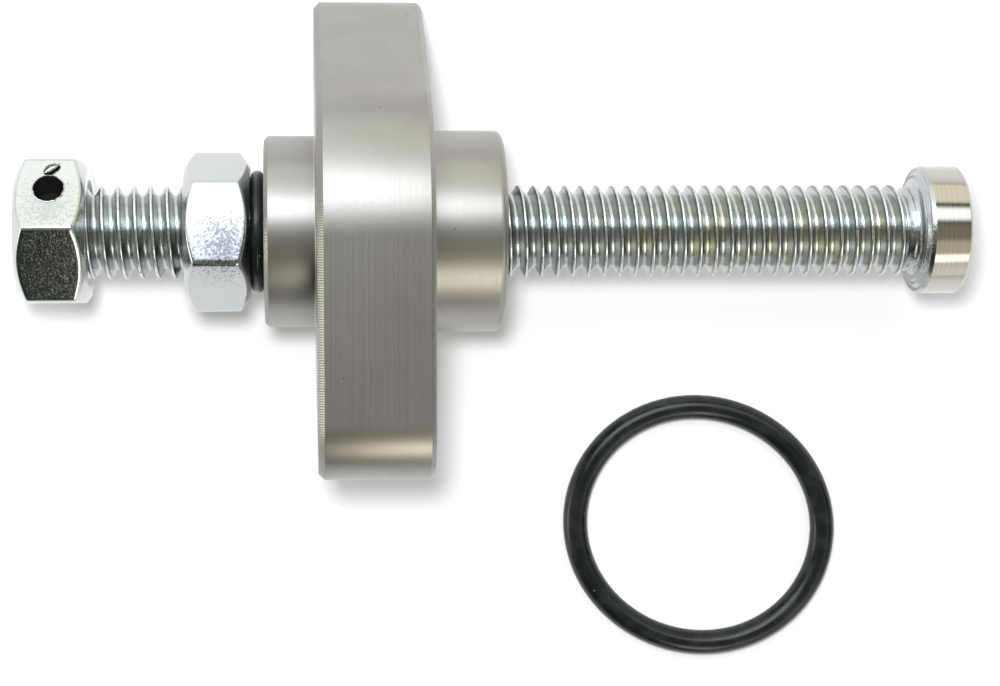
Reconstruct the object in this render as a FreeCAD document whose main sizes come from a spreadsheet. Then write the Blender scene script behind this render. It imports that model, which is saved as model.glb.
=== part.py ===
"""Manual cam chain tensioner.

A billet housing with a two-bolt flange carries a threaded adjuster bolt. The bolt's own head is
turned round and is the foot that presses on the chain guide. A hex nut on the other end of the
bolt turns it, a lock nut holds the setting, a small O-ring seals the thread and a larger O-ring,
which lies beside the tensioner, seals the spigot.

Millimetres. The bolt lies along X with its foot at +X. The origin is on the bolt's axis, in the
face of the flange that meets the engine. The housing lies on one of the flange's four flats.
"""
import FreeCAD
import Part
import Sketcher
import math
import os

# Driving dimensions: name, value in mm or degrees, what it is
SIZES = [
    ("rod_diameter", 9.3, "major diameter of the 3/8-16 adjuster thread"),
    ("thread_pitch", 1.5875, "one turn of that thread, 16 to the inch"),
    ("thread_clearance", 0.06, "gap between the rod and each threaded bore, per side"),
    ("rod_length", 89.35, "from the rod's end to the washer face under the foot"),
    ("run_out_length", 1.85, "plain neck between the thread and the foot"),
    ("neck_round", 0.5, "fillet between the neck and the washer face"),
    ("washer_face_diameter", 11.0, "flat under the foot"),
    ("washer_face_height", 0.8, "cone between the washer face and the foot's rim"),
    ("foot_diameter", 13.0, "turned rim of the foot"),
    ("foot_thickness", 3.75, "length of that rim"),
    ("foot_edge_break", 0.25, "chamfer round the end of the foot"),
    ("foot_reach", 54.2, "from the mounting face to the end of the foot"),
    ("nut_flats", 13.9, "across the flats of both nuts"),
    ("nut_face_diameter", 12.8, "flat circle on a nut's faces, inside its chamfer"),
    ("nut_chamfer_angle", 33.0, "slope of a nut's corner chamfers"),
    ("nut_countersink", 0.5, "chamfer at the mouths of a nut's bore"),
    ("head_nut_thickness", 6.8, "adjuster nut on the end of the rod"),
    ("head_nut_recess", 0.4, "how far the rod's end lies inside the adjuster nut"),
    ("head_nut_roll", 34.7, "tilt of the drilled face from straight up"),
    ("cross_hole_diameter", 2.9, "wire hole through the adjuster nut and the rod"),
    ("cross_hole_skew", 4.2, "angle of that hole to the face it is drilled in"),
    ("lock_nut_thickness", 6.45, "nut that locks the setting"),
    ("lock_nut_roll", 8.8, "tilt of its upper face"),
    ("thread_seal_cord", 1.3, "cord of the small O-ring under the lock nut"),
    ("thread_seal_bore", 9.6, "inside diameter of that O-ring"),
    ("thread_seal_clearance", 0.03, "gap on each side of that O-ring"),
    ("outer_boss_diameter", 19.0, "boss that the lock nut bears on"),
    ("outer_boss_length", 5.05, "from the flange to the boss's face"),
    ("outer_boss_chamfer", 0.4, "edge of that face"),
    ("flange_thickness", 11.1, "between the flange's two faces"),
    ("flange_mid_radius", 16.0, "flange outline round the bolt"),
    ("flange_end_radius", 5.8, "flange outline round each bolt hole"),
    ("flange_rim_chamfer", 0.6, "outer edge of the outline"),
    ("flange_edge_break", 0.45, "edge of the outline at the mounting face"),
    ("bolt_spacing", 40.8, "between the two flange bolts"),
    ("bolt_hole_diameter", 6.6, "clearance for M6"),
    ("bolt_hole_break", 0.3, "chamfer at the mouths of the bolt holes"),
    ("spigot_diameter", 20.1, "boss that enters the engine"),
    ("spigot_length", 7.4, "from the mounting face to the spigot's end"),
    ("spigot_round", 0.8, "rounded end of the spigot"),
    ("bore_countersink", 0.6, "chamfer at the mouths of the housing's bore"),
    ("flange_seal_diameter", 26.75, "mean diameter of the larger O-ring"),
    ("flange_seal_cord", 2.65, "cord of that O-ring"),
    ("flange_seal_oval", 0.49, "how much wider than round it lies, each way"),
    ("flange_seal_turn", 23.0, "turn of its long axis"),
    ("flange_seal_ahead", 30.65, "its centre from the mounting face, along X"),
    ("flange_seal_aside", 32.7, "its centre from the bolt's axis, along -Y"),
]

# Places along the bolt, worked out from the sizes above
BOSS_FACE = "(-sizes.flange_thickness - sizes.outer_boss_length)"
SEAL_GAP = "(sizes.thread_seal_cord + 2 * sizes.thread_seal_clearance)"
LOCK_NUT_START = f"({BOSS_FACE} - {SEAL_GAP} - sizes.lock_nut_thickness)"
RIM_START = "(sizes.foot_reach - sizes.foot_thickness)"
WASHER_FACE = f"({RIM_START} - sizes.washer_face_height)"
ROD_START = f"({WASHER_FACE} - sizes.rod_length)"
HEAD_NUT_START = f"({ROD_START} - sizes.head_nut_recess)"
CROSS_HOLE_PLACE = "(sizes.head_nut_thickness / 2)"

# Thread: its depth is five eighths of a sharp 60 degree thread, and it starts inside the head nut
THREAD_DEPTH = "(0.5413 * sizes.thread_pitch)"
THREAD_START = f"({HEAD_NUT_START} + sizes.head_nut_thickness - 0.6 * sizes.thread_pitch)"
THREAD_END = f"({WASHER_FACE} - sizes.run_out_length)"

# Radii and angles that several pieces share; FLAT_UP is where a corner lies when a flat faces up
ROD_RADIUS = "(sizes.rod_diameter / 2)"
NECK_RADIUS = f"((sizes.rod_diameter - {THREAD_DEPTH}) / 2)"
BORE_RADIUS = "(sizes.rod_diameter / 2 + sizes.thread_clearance)"
CORNER_RADIUS = "(sizes.nut_flats / 2 / cos(30))"
FLAT_UP = "60"
CROSS_HOLE_ROLL = "(sizes.head_nut_roll + sizes.cross_hole_skew)"
FLANGE_ROLL = "asin((sizes.flange_mid_radius - sizes.flange_end_radius) / (sizes.bolt_spacing / 2))"

# Sketch names for a line's ends, an arc's centre and the sketch's own origin and axes
START, END, CENTRE = 1, 2, 3
ORIGIN = (-1, 1)
HORIZONTAL_AXIS = -1
TOLERANCE = 1e-4


def make_sizes(doc):
    """The spreadsheet that every sub-part reads."""
    sheet = doc.addObject("Spreadsheet::Sheet", "sizes")
    for row, (name, value, meaning) in enumerate(SIZES, start=1):
        sheet.set(f"A{row}", meaning)
        sheet.set(f"B{row}", str(value))
        sheet.setAlias(f"B{row}", name)
    doc.recompute()
    return sheet


def number(doc, expression):
    """The value that an expression has now, as a plain number."""
    value = doc.sizes.evalExpression(expression)
    return float(getattr(value, "Value", value))


def make_body(doc, label):
    body = doc.addObject("PartDesign::Body", label)
    body.Label = label
    return body


def origin_feature(body, role):
    return next(feature for feature in body.Origin.OriginFeatures if feature.Role == role)


def add_sketch(body, name, plane):
    sketch = body.newObject("Sketcher::SketchObject", name)
    sketch.AttachmentSupport = [(origin_feature(body, plane), "")]
    sketch.MapMode = "FlatFace"
    return sketch


def constrain(sketch, name, expression, *definition):
    """Add a dimension to a sketch and bind it to the sheet."""
    value = number(sketch.Document, expression)
    kind = definition[0]
    if kind == "Angle":
        value = math.radians(value)
    index = sketch.addConstraint(Sketcher.Constraint(*definition, value))
    sketch.renameConstraint(index, name)
    sketch.setExpression(f"Constraints.{name}", expression)


def pin(sketch, name, point, across, up):
    """Hold a point of a sketch at a place given by two expressions."""
    constrain(sketch, f"{name}_across", across, "DistanceX", *ORIGIN, *point)
    constrain(sketch, f"{name}_up", up, "DistanceY", *ORIGIN, *point)


def draw_polygon(sketch, corners):
    """A closed outline of straight lines, each corner given by two expressions."""
    places = []
    for across, up in corners:
        places.append(FreeCAD.Vector(number(sketch.Document, across), number(sketch.Document, up), 0))
    for here, there in zip(places, places[1:] + places[:1]):
        sketch.addGeometry(Part.LineSegment(here, there))
    count = len(corners)
    for index in range(count):
        sketch.addConstraint(Sketcher.Constraint("Coincident", index, END, (index + 1) % count, START))
    for index, (across, up) in enumerate(corners):
        pin(sketch, f"corner{index}", (index, START), across, up)


def draw_circle(sketch, name, across, up, radius):
    """A circle at a place given by two expressions."""
    doc = sketch.Document
    centre = FreeCAD.Vector(number(doc, across), number(doc, up), 0)
    circle = Part.Circle(centre, FreeCAD.Vector(0, 0, 1), number(doc, radius))
    index = sketch.addGeometry(circle)
    pin(sketch, name, (index, CENTRE), across, up)
    constrain(sketch, f"{name}_radius", radius, "Radius", index)


def turn(body, name, corners, feature="PartDesign::Revolution"):
    """Revolve a profile, drawn as distance along the bolt and radius, about the bolt's axis."""
    sketch = add_sketch(body, f"{name}_profile", "XZ_Plane")
    draw_polygon(sketch, corners)
    turned = body.newObject(feature, name)
    turned.Profile = sketch
    turned.ReferenceAxis = (origin_feature(body, "X_Axis"), [""])
    turned.Angle = 360
    body.Document.recompute()
    return turned


def turn_bore(body, name, first, last, countersink):
    """Cut a threaded bore, drawn plain at the thread's major diameter, chamfered at both mouths."""
    mouth = f"{BORE_RADIUS} + {countersink}"
    corners = [
        (first, "0"),
        (first, mouth),
        (f"{first} + {countersink}", BORE_RADIUS),
        (f"{last} - {countersink}", BORE_RADIUS),
        (last, mouth),
        (last, "0"),
    ]
    return turn(body, name, corners, "PartDesign::Groove")


def drill_across(body, along):
    """Drill the wire hole across the bolt's axis, through both sides."""
    sketch = add_sketch(body, "cross_hole_circle", "XY_Plane")
    draw_circle(sketch, "hole", along, "0", "sizes.cross_hole_diameter / 2")
    hole = body.newObject("PartDesign::Pocket", "cross_hole")
    hole.Profile = sketch
    hole.SideType = "Symmetric"
    hole.Type = "ThroughAll"
    body.Document.recompute()


def break_edges(body, name, feature, size, wanted):
    """Chamfer or fillet the edges of the body's last feature that pass a test."""
    base = body.Tip
    edges = []
    for index, edge in enumerate(base.Shape.Edges, start=1):
        if wanted(edge):
            edges.append(f"Edge{index}")
    dressed = body.newObject(feature, name)
    dressed.Base = (base, edges)
    dressed.setExpression("Size" if feature.endswith("Chamfer") else "Radius", size)
    body.Document.recompute()


def lies_at(edge, along):
    """Whether an edge lies in the plane at a distance along the bolt."""
    box = edge.BoundBox
    return abs(box.XMin - along) < TOLERANCE and abs(box.XMax - along) < TOLERANCE


def is_circle(edge, radius):
    return edge.isClosed() and abs(edge.Curve.Radius - radius) < TOLERANCE


def roll(body, along, angle):
    """Place a body along the bolt and roll it so that its top leans towards +Y."""
    body.Placement = FreeCAD.Placement(
        FreeCAD.Vector(number(body.Document, along), 0, 0),
        FreeCAD.Rotation(FreeCAD.Vector(-1, 0, 0), number(body.Document, angle)),
    )
    body.setExpression("Placement.Base.x", along)
    body.setExpression("Placement.Rotation.Angle", angle)


def draw_flange_outline(sketch):
    """The rhombic outline: one arc over and under the bolt, one round each bolt hole, four flats."""
    doc = sketch.Document
    middle = number(doc, "sizes.flange_mid_radius")
    end = number(doc, "sizes.flange_end_radius")
    reach = number(doc, "sizes.bolt_spacing / 2")
    slope = math.asin((middle - end) / reach)
    upward = FreeCAD.Vector(0, 0, 1)
    turned = math.pi / 2 - slope
    arcs = [
        (0, middle, turned, math.pi - turned),
        (-reach, end, math.pi - turned, math.pi + turned),
        (0, middle, math.pi + turned, 2 * math.pi - turned),
        (reach, end, -turned, turned),
    ]
    for across, radius, first, last in arcs:
        circle = Part.Circle(FreeCAD.Vector(across, 0, 0), upward, radius)
        sketch.addGeometry(Part.ArcOfCircle(circle, first, last))
    count = len(arcs)
    for index in range(count):
        leaving = sketch.Geometry[index].EndPoint
        arriving = sketch.Geometry[(index + 1) % count].StartPoint
        sketch.addGeometry(Part.LineSegment(leaving, arriving))
    for index in range(count):
        flat = count + index
        sketch.addConstraint(Sketcher.Constraint("Tangent", index, END, flat, START))
        sketch.addConstraint(Sketcher.Constraint("Tangent", flat, END, (index + 1) % count, START))
    for index, across in enumerate(["0", "-sizes.bolt_spacing / 2", "0", "sizes.bolt_spacing / 2"]):
        radius = "sizes.flange_mid_radius" if across == "0" else "sizes.flange_end_radius"
        pin(sketch, f"arc{index}", (index, CENTRE), across, "0")
        constrain(sketch, f"arc{index}_radius", radius, "Radius", index)


def make_housing(doc):
    """Flange, outer boss and spigot machined from one billet."""
    body = make_body(doc, "housing")
    boss = "sizes.outer_boss_diameter / 2"
    spigot = "sizes.spigot_diameter / 2"
    turn(body, "bosses", [
        (BOSS_FACE, "0"),
        (BOSS_FACE, f"{boss} - sizes.outer_boss_chamfer"),
        (f"{BOSS_FACE} + sizes.outer_boss_chamfer", boss),
        ("-sizes.flange_thickness / 2", boss),
        ("-sizes.flange_thickness / 2", spigot),
        ("sizes.spigot_length", spigot),
        ("sizes.spigot_length", "0"),
    ])

    outline = add_sketch(body, "flange_outline", "YZ_Plane")
    draw_flange_outline(outline)
    flange = body.newObject("PartDesign::Pad", "flange")
    flange.Profile = outline
    flange.Reversed = True
    flange.setExpression("Length", "sizes.flange_thickness")
    doc.recompute()

    circles = add_sketch(body, "bolt_circles", "YZ_Plane")
    for name, across in [("upper", "sizes.bolt_spacing / 2"), ("lower", "-sizes.bolt_spacing / 2")]:
        draw_circle(circles, name, across, "0", "sizes.bolt_hole_diameter / 2")
    holes = body.newObject("PartDesign::Pocket", "bolt_holes")
    holes.Profile = circles
    holes.SideType = "Symmetric"
    holes.Type = "ThroughAll"
    doc.recompute()

    turn_bore(body, "tapped_bore", BOSS_FACE, "sizes.spigot_length", "sizes.bore_countersink")

    outer_face = -number(doc, "sizes.flange_thickness")
    spigot_end = number(doc, "sizes.spigot_length")
    hole_radius = number(doc, "sizes.bolt_hole_diameter / 2")
    spigot_radius = number(doc, spigot)
    break_edges(
        body, "rim_chamfer", "PartDesign::Chamfer", "sizes.flange_rim_chamfer",
        lambda edge: lies_at(edge, outer_face) and not edge.isClosed(),
    )
    break_edges(
        body, "mounting_edge_break", "PartDesign::Chamfer", "sizes.flange_edge_break",
        lambda edge: lies_at(edge, 0) and not edge.isClosed(),
    )
    break_edges(
        body, "bolt_hole_breaks", "PartDesign::Chamfer", "sizes.bolt_hole_break",
        lambda edge: (lies_at(edge, outer_face) or lies_at(edge, 0)) and is_circle(edge, hole_radius),
    )
    break_edges(
        body, "spigot_end_round", "PartDesign::Fillet", "sizes.spigot_round",
        lambda edge: lies_at(edge, spigot_end) and is_circle(edge, spigot_radius),
    )
    roll(body, "0", FLANGE_ROLL)
    return body


def cut_thread(body):
    """Cut the right-hand thread along the rod: 60 degree flanks, with a root a quarter pitch wide."""
    root = f"({ROD_RADIUS} - {THREAD_DEPTH})"
    half_root = "sizes.thread_pitch / 8"
    half_mouth = f"({half_root} + ({BORE_RADIUS} - {root}) * tan(30))"
    groove = add_sketch(body, "thread_groove", "XZ_Plane")
    draw_polygon(groove, [
        (f"{THREAD_START} - {half_mouth}", BORE_RADIUS),
        (f"{THREAD_START} - {half_root}", root),
        (f"{THREAD_START} + {half_root}", root),
        (f"{THREAD_START} + {half_mouth}", BORE_RADIUS),
    ])
    thread = body.newObject("PartDesign::SubtractiveHelix", "thread")
    thread.Profile = groove
    thread.ReferenceAxis = (origin_feature(body, "X_Axis"), [""])
    thread.Mode = "pitch-height-angle"
    thread.setExpression("Pitch", "sizes.thread_pitch")
    thread.setExpression("Height", f"{THREAD_END} - sizes.thread_pitch / 2 - {THREAD_START}")
    body.Document.recompute()


def make_adjuster_bolt(doc):
    """The adjuster screw, with the foot turned from its own head."""
    body = make_body(doc, "adjuster_bolt")
    foot = "sizes.foot_diameter / 2"
    turn(body, "shank_and_foot", [
        (ROD_START, "0"),
        (ROD_START, f"{ROD_RADIUS} - {THREAD_DEPTH}"),
        (f"{ROD_START} + {THREAD_DEPTH}", ROD_RADIUS),
        (THREAD_END, ROD_RADIUS),
        (f"{THREAD_END} + {THREAD_DEPTH}", NECK_RADIUS),
        (WASHER_FACE, NECK_RADIUS),
        (WASHER_FACE, "sizes.washer_face_diameter / 2"),
        (RIM_START, foot),
        ("sizes.foot_reach - sizes.foot_edge_break", foot),
        ("sizes.foot_reach", f"{foot} - sizes.foot_edge_break"),
        ("sizes.foot_reach", "0"),
    ])
    drill_across(body, f"{HEAD_NUT_START} + {CROSS_HOLE_PLACE}")
    washer_face = number(doc, WASHER_FACE)
    neck = number(doc, NECK_RADIUS)
    break_edges(
        body, "neck_fillet", "PartDesign::Fillet", "sizes.neck_round",
        lambda edge: lies_at(edge, washer_face) and is_circle(edge, neck),
    )
    cut_thread(body)
    roll(body, "0", CROSS_HOLE_ROLL)
    return body


def draw_hexagon(sketch, corner_angle):
    """A hexagon round the bolt's axis, with one corner at an angle given by an expression."""
    doc = sketch.Document
    radius = number(doc, CORNER_RADIUS)
    first = math.radians(number(doc, corner_angle))
    sides = 6
    corners = []
    for index in range(sides):
        angle = first + 2 * math.pi * index / sides
        corners.append(FreeCAD.Vector(radius * math.cos(angle), radius * math.sin(angle), 0))
    for here, there in zip(corners, corners[1:] + corners[:1]):
        sketch.addGeometry(Part.LineSegment(here, there))
    for index in range(sides):
        sketch.addConstraint(Sketcher.Constraint("Coincident", index, END, (index + 1) % sides, START))
    ring = sketch.addGeometry(Part.Circle(FreeCAD.Vector(), FreeCAD.Vector(0, 0, 1), radius), True)
    sketch.addConstraint(Sketcher.Constraint("Coincident", ring, CENTRE, *ORIGIN))
    constrain(sketch, "corner_radius", CORNER_RADIUS, "Radius", ring)
    for index in range(sides):
        sketch.addConstraint(Sketcher.Constraint("PointOnObject", index, START, ring))
    for index in range(1, sides):
        sketch.addConstraint(Sketcher.Constraint("Equal", 0, index))
    spoke = sketch.addGeometry(Part.LineSegment(FreeCAD.Vector(), corners[0]), True)
    sketch.addConstraint(Sketcher.Constraint("Coincident", spoke, START, *ORIGIN))
    sketch.addConstraint(Sketcher.Constraint("Coincident", spoke, END, 0, START))
    constrain(sketch, "corner_angle", corner_angle, "Angle", HORIZONTAL_AXIS, START, spoke, START)


def make_nut(doc, label, thickness, corner_angle):
    """A hex nut with its outer face at its own origin, chamfered at both ends."""
    body = make_body(doc, label)
    hexagon = add_sketch(body, "hexagon", "YZ_Plane")
    draw_hexagon(hexagon, corner_angle)
    pad = body.newObject("PartDesign::Pad", "prism")
    pad.Profile = hexagon
    pad.setExpression("Length", thickness)
    doc.recompute()

    face = "sizes.nut_face_diameter / 2"
    outside = f"({CORNER_RADIUS} + sizes.nut_countersink)"
    depth = f"({outside} - {face}) * tan(sizes.nut_chamfer_angle)"
    turn(body, "outer_chamfer", [("0", face), ("0", outside), (depth, outside)], "PartDesign::Groove")
    turn(
        body, "inner_chamfer",
        [(thickness, face), (thickness, outside), (f"{thickness} - {depth}", outside)],
        "PartDesign::Groove",
    )
    turn_bore(body, "threaded_bore", "0", thickness, "sizes.nut_countersink")
    return body


def make_head_nut(doc):
    """The nut that is fixed on the rod's end to turn it, drilled through for a wire."""
    body = make_nut(doc, "head_nut", "sizes.head_nut_thickness", f"{FLAT_UP} + sizes.cross_hole_skew")
    drill_across(body, CROSS_HOLE_PLACE)
    roll(body, HEAD_NUT_START, CROSS_HOLE_ROLL)
    return body


def make_lock_nut(doc):
    """The nut that is tightened against the outer boss."""
    body = make_nut(doc, "lock_nut", "sizes.lock_nut_thickness", FLAT_UP)
    roll(body, LOCK_NUT_START, "sizes.lock_nut_roll")
    return body


def make_thread_seal(doc):
    """The small O-ring on the thread, between the lock nut and the outer boss."""
    ring = doc.addObject("Part::Torus", "thread_seal")
    ring.setExpression("Radius1", "(sizes.thread_seal_bore + sizes.thread_seal_cord) / 2")
    ring.setExpression("Radius2", "sizes.thread_seal_cord / 2")
    ring.Placement = FreeCAD.Placement(
        FreeCAD.Vector(), FreeCAD.Rotation(FreeCAD.Vector(0, 1, 0), 90),
    )
    ring.setExpression("Placement.Base.x", f"{BOSS_FACE} - {SEAL_GAP} / 2")
    return ring


def make_flange_seal(doc):
    """The larger O-ring, lying beside the tensioner as a slight oval of four arcs."""
    body = make_body(doc, "flange_seal")
    offset = "(sizes.flange_seal_oval * 2 / (2 - sqrt(2)))"
    tight = f"(sizes.flange_seal_diameter / 2 + sizes.flange_seal_oval - {offset})"
    wide = f"(sizes.flange_seal_diameter / 2 - sizes.flange_seal_oval + {offset})"
    path = add_sketch(body, "oval", "XY_Plane")
    quarter = math.pi / 4
    arcs = [
        (offset, "0", tight, -quarter),
        ("0", f"-{offset}", wide, quarter),
        (f"-{offset}", "0", tight, 3 * quarter),
        ("0", offset, wide, 5 * quarter),
    ]
    for across, up, radius, first in arcs:
        centre = FreeCAD.Vector(number(doc, across), number(doc, up), 0)
        circle = Part.Circle(centre, FreeCAD.Vector(0, 0, 1), number(doc, radius))
        path.addGeometry(Part.ArcOfCircle(circle, first, first + 2 * quarter))
    for index in range(len(arcs)):
        path.addConstraint(Sketcher.Constraint("Tangent", index, END, (index + 1) % len(arcs), START))
    for index, (across, up, radius, first) in enumerate(arcs):
        if radius == tight:
            pin(path, f"arc{index}", (index, CENTRE), across, up)
            constrain(path, f"arc{index}_radius", radius, "Radius", index)
        else:
            constrain(path, f"arc{index}_up", up, "DistanceY", *ORIGIN, index, CENTRE)
    section = add_sketch(body, "cord", "XZ_Plane")
    draw_circle(section, "cord", f"{offset} + {tight}", "0", "sizes.flange_seal_cord / 2")
    pipe = body.newObject("PartDesign::AdditivePipe", "ring")
    pipe.Profile = section
    pipe.Spine = (path, [])
    doc.recompute()

    body.Placement = FreeCAD.Placement(
        FreeCAD.Vector(),
        FreeCAD.Rotation(FreeCAD.Vector(0, 0, -1), number(doc, "sizes.flange_seal_turn")),
    )
    body.setExpression("Placement.Rotation.Angle", "sizes.flange_seal_turn")
    body.setExpression("Placement.Base.x", "sizes.flange_seal_ahead")
    body.setExpression("Placement.Base.y", "-sizes.flange_seal_aside")
    body.setExpression("Placement.Base.z", "sizes.flange_seal_cord / 2 - sizes.flange_mid_radius")
    return body


def check(doc, pieces):
    """Stop if anything failed to build."""
    for item in doc.Objects:
        if "Invalid" in item.State or "Error" in item.State:
            raise RuntimeError(f"{item.Label} failed: {item.State}")
    for piece in pieces:
        if piece.Shape.isNull() or not piece.Shape.isValid():
            raise RuntimeError(f"{piece.Label} has no valid shape")
        solids = len(piece.Shape.Solids)
        if solids != 1:
            raise RuntimeError(f"{piece.Label} has {solids} solids")


def main():
    doc = FreeCAD.newDocument("cam_chain_tensioner")
    make_sizes(doc)
    pieces = [
        make_housing(doc),
        make_adjuster_bolt(doc),
        make_head_nut(doc),
        make_lock_nut(doc),
        make_thread_seal(doc),
        make_flange_seal(doc),
    ]
    doc.recompute()
    check(doc, pieces)
    os.makedirs("parts", exist_ok=True)
    for piece in pieces:
        piece.Shape.exportStep(f"parts/{piece.Label}.step")
        box = piece.Shape.BoundBox
        print(f"{piece.Label}: {piece.Shape.Volume:.1f} mm3, x {box.XMin:.2f} to {box.XMax:.2f}, "
              f"y {box.YMin:.2f} to {box.YMax:.2f}, z {box.ZMin:.2f} to {box.ZMax:.2f}")


main()
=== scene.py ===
"""The cam chain tensioner as photographed: satin billet housing, zinc plated screw and nuts,
bright turned foot and two black O-rings, seen from above on a white ground.

Meshes are drawn in millimetres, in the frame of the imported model, and scaled to metres when they
become objects. Angles round the bolt are measured from straight up towards +Y.
"""
import math

import bmesh
import bpy
from mathutils import Matrix, Vector, noise


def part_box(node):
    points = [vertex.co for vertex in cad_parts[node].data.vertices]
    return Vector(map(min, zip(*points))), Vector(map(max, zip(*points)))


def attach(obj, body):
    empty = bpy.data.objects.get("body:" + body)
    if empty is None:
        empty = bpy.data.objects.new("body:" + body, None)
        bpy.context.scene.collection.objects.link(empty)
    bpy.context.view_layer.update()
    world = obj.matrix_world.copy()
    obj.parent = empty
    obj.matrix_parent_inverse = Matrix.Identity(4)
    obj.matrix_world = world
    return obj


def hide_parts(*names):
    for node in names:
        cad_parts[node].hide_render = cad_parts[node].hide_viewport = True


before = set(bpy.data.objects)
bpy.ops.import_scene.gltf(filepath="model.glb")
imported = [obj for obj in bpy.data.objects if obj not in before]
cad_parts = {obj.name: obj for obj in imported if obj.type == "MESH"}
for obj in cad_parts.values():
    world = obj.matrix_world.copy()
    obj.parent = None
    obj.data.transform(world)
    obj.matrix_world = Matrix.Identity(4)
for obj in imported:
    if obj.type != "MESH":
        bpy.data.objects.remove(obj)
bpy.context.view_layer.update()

MM = 0.001
FULL_TURN = 2 * math.pi


def box_mm(node):
    """A node's lowest and highest corners in millimetres."""
    low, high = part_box(node)
    return low / MM, high / MM


# Places and sizes taken from the frame
housing_low, housing_high = box_mm("housing")
bolt_low, bolt_high = box_mm("adjuster_bolt")
head_low, head_high = box_mm("head_nut")
lock_low, lock_high = box_mm("lock_nut")
small_ring_low, small_ring_high = box_mm("thread_seal")
large_ring_low, large_ring_high = box_mm("flange_seal")
BOSS_FACE = housing_low.x
SPIGOT_END = housing_high.x
FLANGE_MID_RADIUS = housing_high.z
ROD_START = bolt_low.x
FOOT_END = bolt_high.x
FOOT_RADIUS = bolt_high.y
FLOOR_LEVEL = housing_low.z

# Housing
FLANGE_THICKNESS = 11.1
FLANGE_OUTER_FACE = -FLANGE_THICKNESS
FLANGE_MOUNT_FACE = 0.0
FLANGE_END_RADIUS = 5.798
BOLT_REACH = 20.4
BOLT_HOLE_RADIUS = 3.3
BOLT_HOLE_BREAK = 0.3
RIM_CHAMFER = 0.6
MOUNT_CHAMFER = 0.45
RIM_LAP = 0.3
BOSS_RADIUS = 9.5
BOSS_CHAMFER = 0.4
BOSS_FILLET = 0.22
BOSS_LAP = 0.1
SPIGOT_RADIUS = 10.05
SPIGOT_ROUND = 0.8
BORE_RADIUS = 4.71
BORE_COUNTERSINK = 0.6
EDGE_ROUND = 0.07
CHAMFER_SLACK = 0.02
TICK_PITCH = 0.24
FLANGE_ROLL = math.asin((FLANGE_MID_RADIUS - FLANGE_END_RADIUS) / BOLT_REACH)

# Screw thread, with a little wear along its turns
PITCH = 1.5875
CREST_RADIUS = 4.6
CREST_FLAT = PITCH / 8
ROOT_RADIUS = 3.67
FLANK_ANGLE = math.radians(30)
THREAD_ROUND = 0.13
THREAD_COVER = 2.0
THREAD_END = 49.1
THREAD_RUN_OUT = 0.9
WEAR_DEPTH = 0.012
WEAR_ALONG = 1.7
WEAR_AROUND = 3

# Neck and foot: the ridges are places past the washer's face and beyond its radius
NECK_RADIUS = 4.22
NECK_FILLET = 0.5
NECK_LAP = 0.1
NECK_RUN_IN = [(THREAD_END - 1.0, ROOT_RADIUS - 0.3), (THREAD_END - 0.3, NECK_RADIUS - 0.02)]
WASHER_FACE = 49.65
WASHER_RADIUS = 5.5
WASHER_RIDGES = [(0.0, -0.25), (0.22, -0.14), (0.03, 0.1), (0.47, 0.45), (0.33, 0.8)]
RIDGE_ROUND = 0.1
RIM_START = 50.45
RIM_ROUND = 0.08
FOOT_EDGE = 0.25
FOOT_MIDDLE = 0.6

# The rod's end inside the head nut
ROD_MIDDLE = 0.5
ROD_CHAMFER = 0.8
ROD_CHAMFER_DEPTH = 0.9
ROD_ROUND = 0.1
ROD_STUB_END = head_high.x - 1.0
ROD_SIDE_SLOPE = 0.3

# Nuts
NUT_HALF_FLATS = 6.95
NUT_FACE_RADIUS = 6.4
NUT_FACE_LAP = 0.4
NUT_CHAMFER = math.radians(33)
NUT_COUNTERSINK = 0.5
NUT_SHARPNESS = 75
NUT_SIDE_LIMIT = 0.5
HEAD_NUT_ROLL = math.radians(34.7)
LOCK_NUT_ROLL = math.radians(8.8)

# Wire hole through the head nut, with its burr and curled flake
HOLE_RADIUS = 1.45
HOLE_SKEW = math.radians(4.2)
HOLE_SLACK = 0.02
HOLE_WALL_SLOPE = 0.5
DRILL_LENGTH = 24
BURR_THICKNESS = 0.11
BURR_RAGGED = 0.07
BURR_OFFSET = 0.03
BURR_WANDER = 0.09
BURR_FLATNESS = 0.6
BURR_INSIDE = 0.3
BURR_COARSE = 3
BURR_FINE = 6
FLAKE_START = Vector((-0.5, HOLE_RADIUS + 0.3, 0))
FLAKE_END = Vector((1.05, HOLE_RADIUS + 1.1, 0))
FLAKE_TIP = 0.14
FLAKE_BELLY = 0.8
FLAKE_BELLY_PLACE = 0.7
FLAKE_HEEL = 0.2
FLAKE_BEND = 0.8
FLAKE_CURL = 0.52
FLAKE_TWIST = 0.3
FLAKE_THICKNESS = 0.025

# The thread's groove starts inside the head nut, where the wire hole points
THREAD_START = head_high.x - 0.6 * PITCH
THREAD_PHASE = THREAD_START / PITCH + (HEAD_NUT_ROLL + HOLE_SKEW) / FULL_TURN

# Larger O-ring, lying beside the tensioner
LARGE_RING_RADIUS = 13.34
LARGE_RING_OVAL = 0.49
LARGE_RING_TURN = math.radians(-23)

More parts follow.
